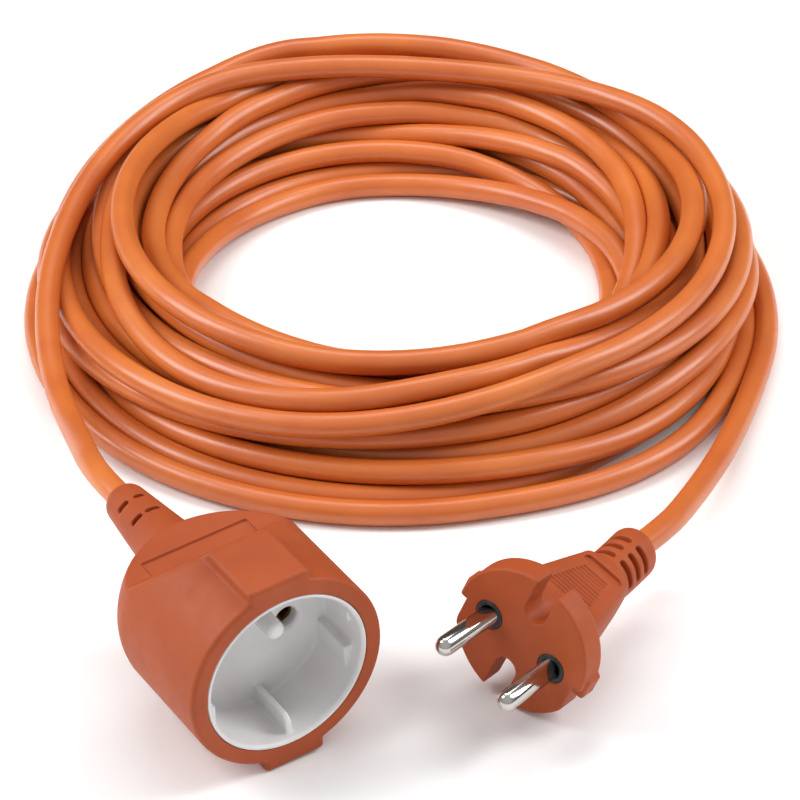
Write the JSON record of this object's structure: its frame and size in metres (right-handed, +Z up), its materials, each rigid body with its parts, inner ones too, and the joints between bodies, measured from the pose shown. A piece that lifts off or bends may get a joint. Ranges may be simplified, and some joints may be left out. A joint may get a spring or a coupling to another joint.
{
  "type": "extension cord",
  "caption": "Two-core extension cord in a loose coil, with a round moulded coupler socket at one end and a moulded contour plug at the other.",
  "frame": {"origin": "on the floor under the middle of the coupler's bounding box", "axes": "+Z up; the socket's mouth looks along -Y and the coupler's neck and cord leave along +Y; the coil and plug lie towards +X"},
  "size_m": [0.2396, 0.2651, 0.0535],
  "materials": {
    "orange_moulding": "matte, slightly soft PVC",
    "orange_sheath": "satin PVC cable sheath",
    "white_plastic": "satin moulded",
    "black_plastic": "satin moulded",
    "nickel_plate": "bright nickel plate",
    "brass": "stamped strip",
    "copper": "bare stranded wire",
    "brown_core": "core insulation",
    "blue_core": "core insulation"
  },
  "bodies": {
    "root": {"coupler_shell": "orange_moulding", "socket_insert": "white_plastic", "contact_cover": "white_plastic", "coupler_contact_live": "brass", "coupler_contact_neutral": "brass", "coupler_wire_end_live": "copper", "coupler_wire_end_neutral": "copper", "coupler_core_brown": "brown_core", "coupler_core_blue": "blue_core", "plug_body": "orange_moulding", "plug_pin_bridge": "black_plastic", "plug_pin_live": "nickel_plate", "plug_pin_neutral": "nickel_plate", "plug_wire_end_live": "copper", "plug_wire_end_neutral": "copper", "plug_core_brown": "brown_core", "plug_core_blue": "blue_core", "coupler_lead": "orange_sheath", "cord_coil": "orange_sheath", "plug_lead": "orange_sheath"}
  },
  "joints": []
}
